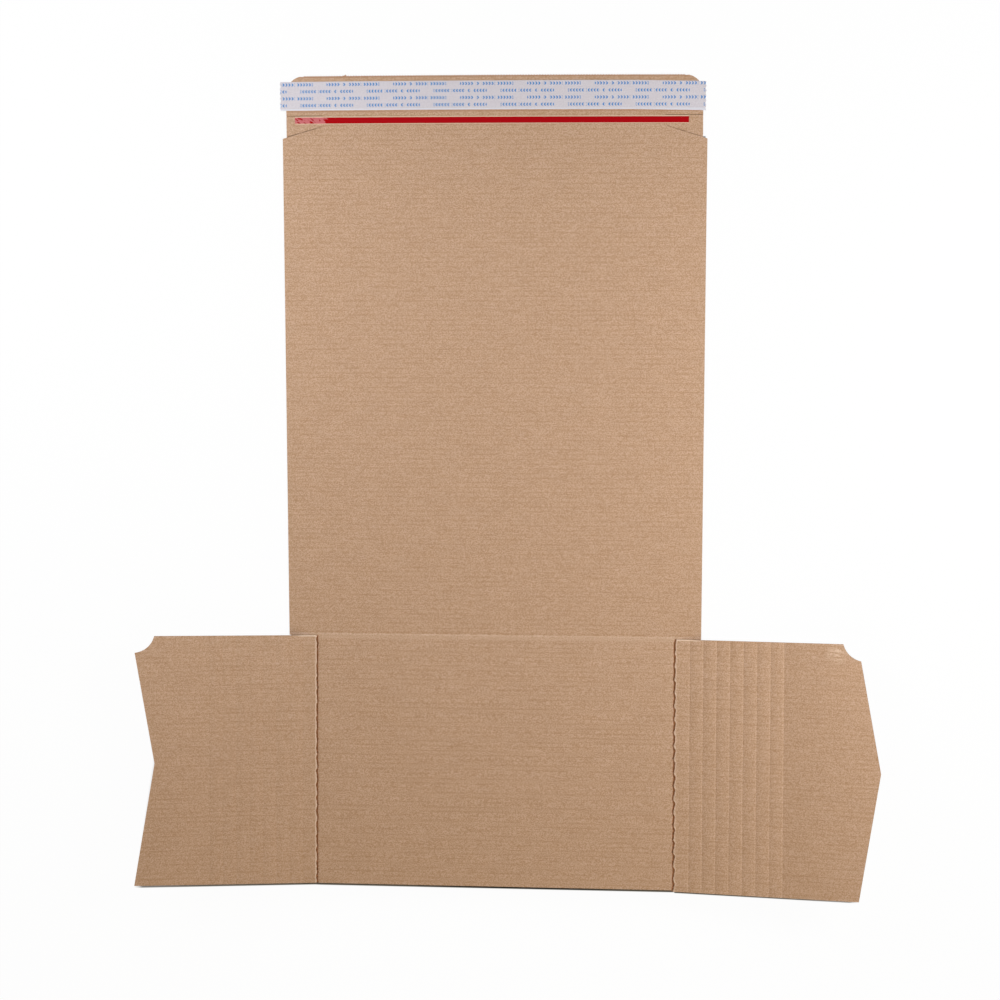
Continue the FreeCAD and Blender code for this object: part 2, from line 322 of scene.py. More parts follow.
def wander(sheet):
    """Move the points beside each flap fold with its wavy rule."""
    reach = fold_section[-1][0]
    for v in sheet.verts:
        offset = abs(v.co.x) - half_base
        if abs(offset) < reach and v.co.y < fold_top:
            side = 1 if v.co.x > 0 else -1
            follow = 1 if offset > 0 else base_side_follows
            move = fold_shift[side] + follow * drift(side, v.co.y)
            v.co.x += side * move * (1 - abs(offset) / reach)


def thicken(sheet, thickness):
    """Give a layer its thickness downwards, and turn its faces outwards."""
    below = bmesh.ops.extrude_face_region(sheet, geom=list(sheet.faces))
    lower = [part for part in below["geom"] if isinstance(part, bmesh.types.BMVert)]
    bmesh.ops.translate(sheet, vec=(0, 0, -thickness), verts=lower)
    bmesh.ops.recalc_face_normals(sheet, faces=list(sheet.faces))


def fold_up(sheet):
    """Lean the flaps about their folds, lift the base panel about the main crease, and place the sheet."""
    tray = [v for v in sheet.verts if v.co.y < 0]
    tray = [v for v in tray if v.co.y < slit_y + hair or abs(v.co.x) < half_base + hair]
    for side, lean in flap_lean.items():
        flap = [v for v in tray if side * v.co.x > half_base and v.co.y < slit_y + hair]
        turn = Matrix.Rotation(-side * lean, 3, "Y")
        bmesh.ops.rotate(sheet, cent=(side * half_base, 0, 0), matrix=turn, verts=flap)
    bmesh.ops.rotate(sheet, cent=(0, 0, 0), matrix=Matrix.Rotation(-base_lean, 3, "X"), verts=tray)
    bmesh.ops.translate(sheet, vec=(0, -wrap_length / 2, 0), verts=list(sheet.verts))


def skew_lead(sheet):
    """The lead end ran a little askew and bowed through the press, and what is stuck on it follows."""
    for v in sheet.verts:
        share = max(0, min(1, (v.co.y - skew_from) / (skew_to - skew_from)))
        bow = lead_bow * (1 - (v.co.x / half_wrap) ** 2)
        v.co.y += share * (lead_creep + bow - lead_skew * (v.co.x + half_wrap))


def finish_piece(sheet, name, material, node):
    """Make a piece of a bmesh: smooth faces, sharp cut edges, its material and its place."""
    skew_lead(sheet)
    many_sided = [face for face in sheet.faces if len(face.verts) > 4]
    bmesh.ops.triangulate(sheet, faces=many_sided, ngon_method="BEAUTY")
    bmesh.ops.dissolve_degenerate(sheet, edges=list(sheet.edges), dist=hair)
    for face in sheet.faces:
        face.smooth = True
    for edge in sheet.edges:
        edge.smooth = len(edge.link_faces) == 2 and edge.calc_face_angle() < sharp_edge
    mesh = bpy.data.meshes.new(name)
    sheet.to_mesh(mesh)
    sheet.free()
    mesh.materials.append(material)
    piece = bpy.data.objects.new(name, mesh)
    bpy.context.scene.collection.objects.link(piece)
    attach(piece, "root")
    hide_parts(node)
    return piece


# --- Kraft paper -----------------------------------------------------------------------------------
# Both liners and the medium are brown kraft paper. Its fibres show as fine speckle and short streaks,
# the sheet is a little cloudy, and painted shade lies in broken lines along the flutes' valleys. It is
# paler where rubbed and on torn fold lips; painted highlight and shade mark creases, folds and edges.

grain_size = (0.9 * mm, 0.8 * mm, 0.9 * mm)
streak_size = (22 * mm, 0.8 * mm, 22 * mm)
cloud_size = (14 * mm, 9 * mm, 14 * mm)
dark_fibre_levels = (0.50, 0.64)
pale_fibre_levels = (0.50, 0.36)
streak_levels = (0.48, 0.62)
flute_shade_levels = (0.38, 0.56)
valley_levels = (0.0, -0.9)
paper_roughness = 0.72
grain_roughness = 0.25
streak_height = 0.6
paper_gloss = 0.08
flute_phase = math.pi * wrap_length / flute_pitch
# Pale kraft for rubbed paper, the torn fold lips and the painted highlights.
pale_and_highlight_paper = (0.930, 0.720, 0.560, 1)
# Painted shade: a dark kraft laid in the folds' grooves, along the lead edge and under the release liner.
painted_shade_paper = (0.400, 0.185, 0.090, 1)
scuffed_corner = (252.5 * mm, -213.5 * mm, 20.8 * mm)
scuff_reach = 9 * mm
scuff_core = 0.3
scuff_streak_size = (4 * mm, 1.1 * mm, 4 * mm)
scuff_levels = (0.42, 0.58)


def add_node(tree, kind, **settings):
    """A node of this kind, with its settings."""
    made = tree.nodes.new(kind)
    for name, value in settings.items():
        setattr(made, name, value)
    return made


def calculate(tree, operation, *values):
    """A Math node; each value is a number or another node's output."""
    made = add_node(tree, "ShaderNodeMath", operation=operation)
    for socket, value in zip(made.inputs, values):
        if isinstance(value, (int, float)):
            socket.default_value = value
        else:
            tree.links.new(value, socket)
    return made.outputs[0]


def fibre_noise(tree, place, size, detail):
    """Noise whose grain has this size in metres along X, Y and Z."""
    stretch = add_node(tree, "ShaderNodeMapping")
    stretch.inputs["Scale"].default_value = [1 / length for length in size]
    grain = add_node(tree, "ShaderNodeTexNoise")
    grain.inputs["Scale"].default_value = 1
    grain.inputs["Detail"].default_value = detail
    tree.links.new(place, stretch.inputs["Vector"])
    tree.links.new(stretch.outputs[0], grain.inputs["Vector"])
    return grain.outputs["Fac"]


def ramp(tree, value, start, end):
    """0 below start, 1 above end."""
    made = add_node(tree, "ShaderNodeMapRange")
    made.inputs["From Min"].default_value = start
    made.inputs["From Max"].default_value = end
    tree.links.new(value, made.inputs["Value"])
    return made.outputs["Result"]


def tint(tree, amount, under, over):
    """Lay one colour over another by an amount."""
    made = add_node(tree, "ShaderNodeMix", data_type="RGBA")
    tree.links.new(amount, made.inputs["Factor"])
    for socket, value in ((made.inputs["A"], under), (made.inputs["B"], over)):
        if isinstance(value, tuple):
            socket.default_value = value
        else:
            tree.links.new(value, socket)
    return made.outputs["Result"]


def build_paper_fibres():
    """The group every paper here uses: fibre speckle, streaks, cloudiness and painted valley shade over a
    base colour.
    """
    tree = bpy.data.node_groups.new("paper_fibres", "ShaderNodeTree")
    for name in ("Paper", "Dark Fibre", "Pale Fibre"):
        tree.interface.new_socket(name, in_out="INPUT", socket_type="NodeSocketColor")
    for name in ("Speckle", "Streaks", "Flute Valley Shade", "Cloudiness"):
        tree.interface.new_socket(name, in_out="INPUT", socket_type="NodeSocketFloat")
    tree.interface.new_socket("Colour", in_out="OUTPUT", socket_type="NodeSocketColor")
    tree.interface.new_socket("Roughness", in_out="OUTPUT", socket_type="NodeSocketFloat")
    tree.interface.new_socket("Height", in_out="OUTPUT", socket_type="NodeSocketFloat")
    given = add_node(tree, "NodeGroupInput").outputs
    place = add_node(tree, "ShaderNodeTexCoord").outputs["Object"]
    grain = fibre_noise(tree, place, grain_size, 2)
    streak = fibre_noise(tree, place, streak_size, 2)
    cloud = fibre_noise(tree, place, cloud_size, 4)
    along = add_node(tree, "ShaderNodeSeparateXYZ")
    tree.links.new(place, along.inputs[0])
    # Painted shade: broken dark lines along the flutes' valleys stand in for the washboard's shading.
    turn = calculate(tree, "MULTIPLY_ADD", along.outputs["Y"], math.tau / flute_pitch, flute_phase)
    valley = ramp(tree, calculate(tree, "COSINE", turn), *valley_levels)
    dark = calculate(tree, "MULTIPLY", ramp(tree, grain, *dark_fibre_levels), given["Speckle"])
    pale = calculate(tree, "MULTIPLY", ramp(tree, grain, *pale_fibre_levels), given["Speckle"])
    streaks_and_shade = calculate(tree, "MULTIPLY", ramp(tree, streak, *streak_levels), given["Streaks"])
    valley_shade = calculate(tree, "MULTIPLY", ramp(tree, streak, *flute_shade_levels), valley)
    streaks_and_shade = calculate(tree, "MULTIPLY_ADD", valley_shade, given["Flute Valley Shade"], streaks_and_shade)
    colour = tint(tree, dark, given["Paper"], given["Dark Fibre"])
    colour = tint(tree, pale, colour, given["Pale Fibre"])
    colour = tint(tree, streaks_and_shade, colour, given["Dark Fibre"])
    centred = calculate(tree, "SUBTRACT", cloud, 0.5)
    lightness = calculate(tree, "MULTIPLY_ADD", centred, given["Cloudiness"], 1.0)
    shade = add_node(tree, "ShaderNodeHueSaturation")
    tree.links.new(lightness, shade.inputs["Value"])
    tree.links.new(colour, shade.inputs["Color"])
    out = add_node(tree, "NodeGroupOutput").inputs
    tree.links.new(shade.outputs["Color"], out["Colour"])
    rough = calculate(tree, "MULTIPLY_ADD", grain, grain_roughness, paper_roughness)
    tree.links.new(rough, out["Roughness"])
    tree.links.new(calculate(tree, "MULTIPLY_ADD", streak, streak_height, grain), out["Height"])
    return tree


paper_fibres = build_paper_fibres()


def paper_material(name, paper, dark, pale, speckle, streaks, flute_valley_shade, cloudiness, relief):
    """A paper from the fibre group. Colours are linear; relief is the fibres' height in metres."""
    material = bpy.data.materials.new(name)
    material.use_nodes = True
    tree = material.node_tree
    fibres = add_node(tree, "ShaderNodeGroup", node_tree=paper_fibres)
    for socket, value in (
        ("Paper", (*paper, 1)),
        ("Dark Fibre", (*dark, 1)),
        ("Pale Fibre", (*pale, 1)),
        ("Speckle", speckle),
        ("Streaks", streaks),
        ("Flute Valley Shade", flute_valley_shade),
        ("Cloudiness", cloudiness),
    ):
        fibres.inputs[socket].default_value = value
    shader = tree.nodes["Principled BSDF"]
    shader.inputs["Specular IOR Level"].default_value = paper_gloss
    bump = add_node(tree, "ShaderNodeBump")
    bump.inputs["Distance"].default_value = relief
    tree.links.new(fibres.outputs["Height"], bump.inputs["Height"])
    tree.links.new(bump.outputs["Normal"], shader.inputs["Normal"])
    tree.links.new(fibres.outputs["Roughness"], shader.inputs["Roughness"])
    tree.links.new(fibres.outputs["Colour"], shader.inputs["Base Color"])
    return material


kraft = paper_material(
    "kraft_liner",
    paper=(0.581, 0.378, 0.252),
    dark=(0.425, 0.243, 0.122),
    pale=(0.695, 0.487, 0.366),
    speckle=0.66,
    streaks=0.13,
    # the kraft's painted shade along the flutes' valleys
    flute_valley_shade=0.26,
    cloudiness=0.10,
    relief=0.02 * mm,
)


def mark_by_attribute(material, attribute, colour):
    """Lay another colour over a paper wherever the mesh's own attribute marks it."""
    tree = material.node_tree
    base_colour = tree.nodes["Principled BSDF"].inputs["Base Color"]
    marked = add_node(tree, "ShaderNodeAttribute", attribute_name=attribute)
    plain = base_colour.links[0].from_socket
    tree.links.new(tint(tree, marked.outputs["Fac"], plain, colour), base_colour)


# Painted highlight, with the paler torn lips, wherever the mesh marks it.
mark_by_attribute(kraft, "pale_and_highlight", pale_and_highlight_paper)
# Painted shade wherever the mesh marks it.
mark_by_attribute(kraft, "painted_shade", painted_shade_paper)


def scuff(material, place, reach, amount):
    """Rub the paper round one place: broken pale streaks that fade outwards."""
    tree = material.node_tree
    here = add_node(tree, "ShaderNodeTexCoord").outputs["Object"]
    apart = add_node(tree, "ShaderNodeVectorMath", operation="DISTANCE")
    apart.inputs[1].default_value = place
    tree.links.new(here, apart.inputs[0])
    near = ramp(tree, apart.outputs["Value"], reach, scuff_core * reach)
    streaks = ramp(tree, fibre_noise(tree, here, scuff_streak_size, 2), *scuff_levels)
    rubbed = calculate(tree, "MULTIPLY", calculate(tree, "MULTIPLY", near, streaks), amount)
    base_colour = tree.nodes["Principled BSDF"].inputs["Base Color"]
    plain = base_colour.links[0].from_socket
    tree.links.new(tint(tree, rubbed, plain, pale_and_highlight_paper), base_colour)


scuff(kraft, scuffed_corner, scuff_reach, amount=0.5)


# --- Inside liner ----------------------------------------------------------------------------------
# The plain inner sheet of the board, 0.2 mm kraft. It is glued to the flutes' crests and sinks a little
# between them, and it takes every crease and the wavy flap folds. It carries the paler torn lips, and
# the painted highlights and painted shade at creases, folds and edges.

liner_thickness = 0.2 * mm
inside_knife = 0.45 * mm
inside_rows_per_flute = 4
warp_columns = [x * mm for x in (-126, -90, -60, -30, 0, 30, 60, 90, 126)]
crease_wall = 0.22
inside_crease_points = (-0.5, -crease_wall, 0, crease_wall, 0.5)
slit_middle = 0.9 * slit_y
# The torn fold lips are paler, with painted highlight on them.
lip_highlight = (0.8 * mm, 1.5 * mm)
lip_highlight_amount = {-1: (0.95, 1.0), 1: (0.50, 0.95)}
# Painted highlight along the flap's top cut edge beside the slit.
slit_edge_highlight = 0.5 * mm
# Painted shade in the flap folds' grooves.
fold_shade = (-0.9 * mm, 0.2 * mm)
fold_shade_wall = -0.5 * mm
fold_shade_wall_amount = 0.35
# Painted highlight on the main crease's lower wall, and a fainter band below it.
crease_highlight_row = main_crease_middle - 0.25 * main_crease_width
crease_highlight_reach = 0.1 * mm
crease_highlight_amount = 0.22
crease_highlight_band = -3.4 * mm
crease_highlight_band_amount = 0.12
# Painted highlight on the lit wall of each crease in the right flap.
flap_crease_highlight_reach = 0.05 * mm
flap_crease_highlight_amount = 0.12
# Painted shade along the toothed lead edge, and in a line just below the release liner's lower edge.
teeth_shade_depth = 1.2 * tooth_depth
teeth_shade_amount = 0.6
liner_shadow_gap = 0.4 * mm
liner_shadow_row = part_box("release_liner")[0].y + wrap_length / 2 - liner_shadow_gap
liner_shadow_amount = 0.45


def pale_and_shade_amounts(x, y):
    """Paleness with painted highlight, and painted shade, of the inside face at a place on the flat sheet.
    """
    side = 1 if x > 0 else -1
    outwards = abs(x) - half_base
    from_crease = (outwards - crease_first) % crease_pitch - crease_pitch
    row_apart = flute_pitch / inside_rows_per_flute
    if y < slit_middle and lip_highlight[0] < outwards < lip_highlight[1]:
        between_bridges, on_bridge = lip_highlight_amount[side]
        return (between_bridges if in_slot(y, torn_slot_length) else on_bridge), 0
    if slit_y - slit_edge_highlight < y < slit_middle and lip_highlight[0] < outwards < half_wrap - half_base:
        return 1, 0
    if y < slit_y and fold_shade[0] < outwards < fold_shade[1]:
        return 0, (fold_shade_wall_amount if outwards < fold_shade_wall else 1)
    if abs(y - crease_highlight_row) < crease_highlight_reach and x < main_crease_ends[1]:
        return crease_highlight_amount, 0
    if crease_highlight_band < y < crease_highlight_row and outwards < 0:
        return crease_highlight_band_amount, 0
    if side > 0 and y < slit_y and crease_first - crease_width < outwards:
        on_lit_wall = abs(from_crease + crease_wall * crease_width) < flap_crease_highlight_reach
        return (flap_crease_highlight_amount if on_lit_wall else 0), 0
    if y > wrap_length - teeth_shade_depth:
        return 0, teeth_shade_amount
    if abs(y - liner_shadow_row) < row_apart / 2:
        return 0, liner_shadow_amount
    return 0, 0


inside = rule_blank(inside_knife, inside_rows_per_flute, warp_columns, inside_crease_points)
pale_and_highlight = inside.verts.layers.float.new("pale_and_highlight")
painted_shade = inside.verts.layers.float.new("painted_shade")
for v in inside.verts:
    v[pale_and_highlight], v[painted_shade] = pale_and_shade_amounts(v.co.x, v.co.y)
    v.co.z = inside_height(v.co.x, v.co.y)
cut_slots(inside, fold_cut, torn_slot_length)
wander(inside)
thicken(inside, liner_thickness)
fold_up(inside)
finish_piece(inside, "inside_liner", kraft, "board")


# --- Fluting ---------------------------------------------------------------------------------------
# The medium between the liners: a thinner kraft run through fluted rolls, so its waves run across the
# sheet and show at the side edges. Wherever a rule has pushed into the board, the flutes are flattened,
# and beside the flap folds, where it shows through the slots, the medium is painted darker as shade.

medium_thickness = 0.16 * mm
closed_knife = 0.02 * mm
medium_rows_per_flute = 6
medium_crease_points = (-0.5, 0, 0.5)
# Painted shade: the medium beside the flap folds, seen through their slots, is laid darker.
slot_shade_reach = 1.5 * mm
slot_shade_medium = (0.440, 0.210, 0.105, 1)

fluting = rule_blank(closed_knife, medium_rows_per_flute, [], medium_crease_points)
slot_shade = fluting.verts.layers.float.new("slot_shade")
for v in fluting.verts:
    v[slot_shade] = abs(abs(v.co.x) - half_base) < slot_shade_reach and v.co.y < slit_y
    headroom = inside_height(v.co.x, v.co.y) - 2 * liner_thickness - medium_thickness
    rise = (1 + math.cos(math.tau * v.co.y / flute_pitch)) / 2
    v.co.z = liner_thickness + medium_thickness + headroom * rise
wander(fluting)
thicken(fluting, medium_thickness)
fold_up(fluting)
medium_kraft = paper_material(
    "kraft_medium",
    paper=(0.430, 0.270, 0.165),
    dark=(0.330, 0.195, 0.110),
    pale=(0.520, 0.350, 0.230),
    speckle=0.6,
    streaks=0.2,
    flute_valley_shade=0.0,
    cloudiness=0.15,
    relief=0.02 * mm,
)
# Painted shade on the medium beside the flap folds.
mark_by_attribute(medium_kraft, "slot_shade", slot_shade_medium)
finish_piece(fluting, "fluting", medium_kraft, "board")


# --- Outside liner ---------------------------------------------------------------------------------
# The sheet that ends up on the outside of the closed pack, face down here. It is the same kraft and lies
# flat, and only the knife cuts and the slots of the flap folds go through it.

outside_rows_per_flute = 2

outside = rule_blank(closed_knife, outside_rows_per_flute, [], ())
for v in outside.verts:
    v.co.z = liner_thickness
cut_slots(outside, fold_cut, slot_length)
wander(outside)
thicken(outside, liner_thickness)
fold_up(outside)
finish_piece(outside, "outside_liner", kraft, "board")


# --- Adhesive strip --------------------------------------------------------------------------------
# Peel-and-seal hot-melt, coated straight on the lead end as a thin milky strip. Its edges are not quite
# straight, and it stays covered until the liner is peeled off.

melt_edge_wave = 0.25 * mm
melt_edge_grain = 5 * mm
melt_seed = 0.7
milky = (0.78, 0.74, 0.60, 1)
milky_pale = (0.84, 0.80, 0.68, 1)
patch_turn = math.radians(38)
patch_size = (5 * mm, 1.6 * mm, 5 * mm)
patch_edge = (-0.02, 0.03)
patch_height = 0.5
ripple_size = (9 * mm, 1.5 * mm, 9 * mm)


def roll_out(node, along, across):
    """A flat grid the size of one of the solids' strips, lying at the strip's upper face."""
    low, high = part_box(node)
    strip = bmesh.new()
    bmesh.ops.create_grid(strip, x_segments=along, y_segments=across, size=0.5)
    bmesh.ops.scale(strip, vec=(high.x - low.x, high.y - low.y, 1), verts=list(strip.verts))
    middle = (low + high) / 2
    bmesh.ops.translate(strip, vec=(middle.x, middle.y, high.z), verts=list(strip.verts))
    return strip, low, high


def build_film_ripples():
    """The group that both films here use: shallow ripples, and patches where the film has let go."""
    tree = bpy.data.node_groups.new("film_ripples", "ShaderNodeTree")
    tree.interface.new_socket("Loose Share", in_out="INPUT", socket_type="NodeSocketFloat")
    tree.interface.new_socket("Loose", in_out="OUTPUT", socket_type="NodeSocketFloat")
    tree.interface.new_socket("Height", in_out="OUTPUT", socket_type="NodeSocketFloat")
    given = add_node(tree, "NodeGroupInput").outputs
    place = add_node(tree, "ShaderNodeTexCoord").outputs["Object"]
    lean = add_node(tree, "ShaderNodeMapping")
    lean.inputs["Rotation"].default_value = (0, 0, patch_turn)
    tree.links.new(place, lean.inputs["Vector"])
    patches = fibre_noise(tree, lean.outputs[0], patch_size, 2)
    ripple = fibre_noise(tree, place, ripple_size, 2)
    limit = calculate(tree, "SUBTRACT", 1.0, given["Loose Share"])
    above = calculate(tree, "SUBTRACT", patches, limit)
    out = add_node(tree, "NodeGroupOutput").inputs
    tree.links.new(ramp(tree, above, *patch_edge), out["Loose"])
    tree.links.new(calculate(tree, "MULTIPLY_ADD", patches, patch_height, ripple), out["Height"])
    return tree


film_ripples = build_film_ripples()


def film_material(name, roughness, loose_share, relief):
    """A film from the ripple group; its colour is joined on by the caller."""
    material = bpy.data.materials.new(name)
    material.use_nodes = True
    tree = material.node_tree
    ripples = add_node(tree, "ShaderNodeGroup", node_tree=film_ripples)
    ripples.inputs["Loose Share"].default_value = loose_share
    shader = tree.nodes["Principled BSDF"]
    shader.inputs["Roughness"].default_value = roughness
    bump = add_node(tree, "ShaderNodeBump")
    bump.inputs["Distance"].default_value = relief
    tree.links.new(ripples.outputs["Height"], bump.inputs["Height"])
    tree.links.new(bump.outputs["Normal"], shader.inputs["Normal"])
    return material, tree, ripples.outputs["Loose"], shader


adhesive, low, high = roll_out("adhesive_strip", along=150, across=4)
adhesive_thickness = high.z - low.z
for v in adhesive.verts:
    from_middle = 2 * (v.co.y - (low.y + high.y) / 2) / (high.y - low.y)
    wave = noise.noise(Vector((v.co.x / melt_edge_grain, from_middle, melt_seed)))
    v.co.y += melt_edge_wave * from_middle * wave
thicken(adhesive, adhesive_thickness)
hot_melt, tree, loose, shader = film_material(
    "hot_melt", roughness=0.35, loose_share=0.5, relief=0.05 * mm,
)
tree.links.new(tint(tree, loose, milky, milky_pale), shader.inputs["Base Color"])
finish_piece(adhesive, "adhesive_strip_film", hot_melt, "adhesive_strip")


# --- Release liner ---------------------------------------------------------------------------------
# Silicone-coated glassine paper over the adhesive, cut a little longer than the lead end is wide, so
# its free ends curl. It is printed along its length with small blue marks that point the way to peel.

liner_rows = 12
liner_trim = 0.25 * mm
end_zigzag = 0.3 * mm
left_curl_length = 12 * mm
left_curl_height = 1.1 * mm
right_curl_length = 7 * mm
right_curl_height = 0.4 * mm
right_sag_length = 60 * mm
right_sag_depth = 0.8 * mm
free_edge = 3 * mm
free_edge_lift = 0.18 * mm
lift_grain = (22 * mm, 30 * mm)
lift_seed = 5.1
glassine_gloss = 0.35
bare_paper = (0.770, 0.760, 0.830, 1)
bare_edge_width = (2.4 * mm, 2.0 * mm)
mark_rows = (1.1 * mm, 5 * mm, 2.1 * mm)
mark_repeat = 49 * mm
mark_start = (24.5 * mm, 43.9 * mm)
mark_runs = [(0.0, 9.8 * mm), (11.5 * mm, 14.1 * mm), (15.8 * mm, 25.6 * mm), (27.3 * mm, 38.8 * mm)]
mark_pitch = 2.15 * mm
mark_stroke = 1.05 * mm
mark_slant = 0.8
mark_blue = (0.050, 0.245, 0.600, 1)
ink_grain = (0.5 * mm, 0.5 * mm, 0.5 * mm)
ink_levels = (0.15, 0.4)

liner, low, high = roll_out("release_liner", along=155, across=liner_rows)
paper_thickness = high.z - low.z
liner_top = high.y
liner_width = high.y - low.y - liner_trim
trim = liner_width / (high.y - low.y)
at_top = Matrix.Translation((0, -liner_top, 0))
bmesh.ops.scale(liner, vec=(1, trim, 1), space=at_top, verts=list(liner.verts))
liner_ends = (min(v.co.x for v in liner.verts), max(v.co.x for v in liner.verts))
for v in liner.verts:
    if v.co.x in liner_ends:
        row = round(liner_rows * (liner_top - v.co.y) / liner_width)
        v.co.x += end_zigzag * (-1) ** row
    from_left = v.co.x - low.x
    from_right = high.x - v.co.x
    in_left_curl = max(0, left_curl_length - from_left) / left_curl_length
    in_right_curl = max(0, right_curl_length - from_right) / right_curl_length
    from_edge = min(v.co.y - low.y, high.y - v.co.y)
    lift = max(0, 1 - from_edge / free_edge) ** 2
    ripple = 0.5 + noise.noise(Vector((v.co.x / lift_grain[0], v.co.y / lift_grain[1], lift_seed)))
    v.co.z += left_curl_height * in_left_curl ** 2 + right_curl_height * in_right_curl ** 2
    v.co.z += free_edge_lift * lift * ripple
    v.co.y -= right_sag_depth * max(0, 1 - from_right / right_sag_length) ** 1.5
thicken(liner, paper_thickness)
glassine = paper_material(
    "glassine",
    paper=(0.700, 0.655, 0.700),
    dark=(0.600, 0.560, 0.610),
    pale=(0.780, 0.750, 0.790),
    speckle=0.45,
    streaks=0.15,
    flute_valley_shade=0.0,
    cloudiness=0.06,
    relief=0.008 * mm,
)
glassine.node_tree.nodes["Principled BSDF"].inputs["Specular IOR Level"].default_value = glassine_gloss


def lead_place(tree):
    """A point's X, and its Y as it was before the lead end ran askew."""
    place = add_node(tree, "ShaderNodeSeparateXYZ")
    tree.links.new(add_node(tree, "ShaderNodeTexCoord").outputs["Object"], place.inputs[0])
    x = place.outputs["X"]
    across = calculate(tree, "ADD", x, half_wrap)
    level = calculate(tree, "MULTIPLY_ADD", across, lead_skew, place.outputs["Y"])
    share = calculate(tree, "DIVIDE", x, half_wrap)
    share = calculate(tree, "MULTIPLY", share, share)
    bow = calculate(tree, "MULTIPLY_ADD", share, lead_bow, -lead_bow - lead_creep)
    return x, calculate(tree, "ADD", level, bow)


def print_peel_marks(material):
    """Rows of runs of small chevrons. Every other row points the other way, between its neighbours."""
    tree = material.node_tree
    first, pitch, tall = mark_rows
    x, y = lead_place(tree)
    down = calculate(tree, "SUBTRACT", liner_top - first, y)
    row = calculate(tree, "FLOOR", calculate(tree, "DIVIDE", down, pitch))
    within = calculate(tree, "SUBTRACT", down, calculate(tree, "MULTIPLY", row, pitch))
    from_middle = calculate(tree, "ABSOLUTE", calculate(tree, "SUBTRACT", within, tall / 2))
    in_row = calculate(tree, "LESS_THAN", from_middle, tall / 2)
    odd = calculate(tree, "MODULO", calculate(tree, "ADD", row, 4.0), 2.0)
    facing = calculate(tree, "MULTIPLY_ADD", odd, -2.0, 1.0)
    # Four rows and ten repeats are added, so that neither MODULO meets a number below zero.
    along = calculate(tree, "MULTIPLY", x, facing)
    along = calculate(tree, "ADD", along, 10 * mark_repeat + mark_start[0])
    along = calculate(tree, "MULTIPLY_ADD", odd, mark_start[1] - mark_start[0], along)
    along = calculate(tree, "MODULO", along, mark_repeat)
    in_run = 0.0
    for start, end in mark_runs:
        after = calculate(tree, "GREATER_THAN", along, start)
        before = calculate(tree, "LESS_THAN", along, end)
        in_run = calculate(tree, "ADD", calculate(tree, "MULTIPLY", after, before), in_run)
    slant = calculate(tree, "MULTIPLY_ADD", from_middle, mark_slant, along)
    in_stroke = calculate(tree, "LESS_THAN", calculate(tree, "MODULO", slant, mark_pitch), mark_stroke)
    ink = calculate(tree, "MULTIPLY", calculate(tree, "MULTIPLY", in_row, in_run), in_stroke)
    place = add_node(tree, "ShaderNodeTexCoord").outputs["Object"]
    wear = ramp(tree, fibre_noise(tree, place, ink_grain, 2), *ink_levels)
    base_colour = tree.nodes["Principled BSDF"].inputs["Base Color"]
    plain = base_colour.links[0].from_socket
    printed = tint(tree, calculate(tree, "MULTIPLY", ink, wear), plain, mark_blue)
    bare_from, bare_to = [liner_width - width for width in bare_edge_width]
    bare_edge = ramp(tree, down, bare_from, bare_to)
    tree.links.new(tint(tree, bare_edge, printed, bare_paper), base_colour)


print_peel_marks(glassine)
finish_piece(liner, "release_liner_paper", glassine, "release_liner")


# --- Tear strip ------------------------------------------------------------------------------------
# Red polyester tear tape laid across the lead end. It lies flat on the board, except where the die has
# loosened the left tab: there the film has let go and shows wrinkled, with a pale haze and painted glare.

tape_sag = 0.3 * mm
tape_drop = 0.1 * mm
clear_margin = 0.7 * mm
clear_film = (0.770, 0.590, 0.435, 1)
tape_red = (0.430, 0.0042, 0.0078, 1)
# Painted glare, over the haze of film lifted off the board.
glare_and_haze_red = (0.620, 0.170, 0.180, 1)
loose_length = 23.4 * mm
loose_ramp = 4 * mm
loose_height = 0.10 * mm
wrinkle_grain = (2.5 * mm, 1.6 * mm)
wrinkle_seed = 3.3
frayed_reach = 12 * mm
fray_grain = (6 * mm, 1.4 * mm, 6 * mm)
haze_past_loose = 5 * mm
haze_fade = 0.5 * mm
margin_edge = (0.2 * mm, 0.25 * mm)
tape_gloss = 0.02

tape, low, high = roll_out("tear_strip", along=290, across=6)
tape_thickness = high.z - low.z
tape_middle = (low.y + high.y) / 2
red_width = high.y - low.y
widen = (red_width + 2 * clear_margin) / red_width
at_middle = Matrix.Translation((0, -tape_middle, 0))
bmesh.ops.scale(tape, vec=(1, widen, 1), space=at_middle, verts=list(tape.verts))
for v in tape.verts:
    v.co.y -= tape_sag * (1 - (v.co.x / half_wrap) ** 2)
    loose_here = max(0, min(1, (low.x + loose_length - v.co.x) / loose_ramp))
    wrinkle = noise.noise(Vector((v.co.x / wrinkle_grain[0], v.co.y / wrinkle_grain[1], wrinkle_seed)))
    v.co.z += loose_height * loose_here * (1 + wrinkle)
thicken(tape, tape_thickness)
tear_film, tree, loose, shader = film_material(
    "tear_film", roughness=0.38, loose_share=0.56, relief=0.02 * mm,
)
shader.inputs["Specular IOR Level"].default_value = tape_gloss
x, y = lead_place(tree)
place = add_node(tree, "ShaderNodeTexCoord").outputs["Object"]
fray = fibre_noise(tree, place, fray_grain, 1)
frayed = calculate(tree, "MULTIPLY_ADD", fray, frayed_reach, x)
haze_end = low.x + loose_length + haze_past_loose
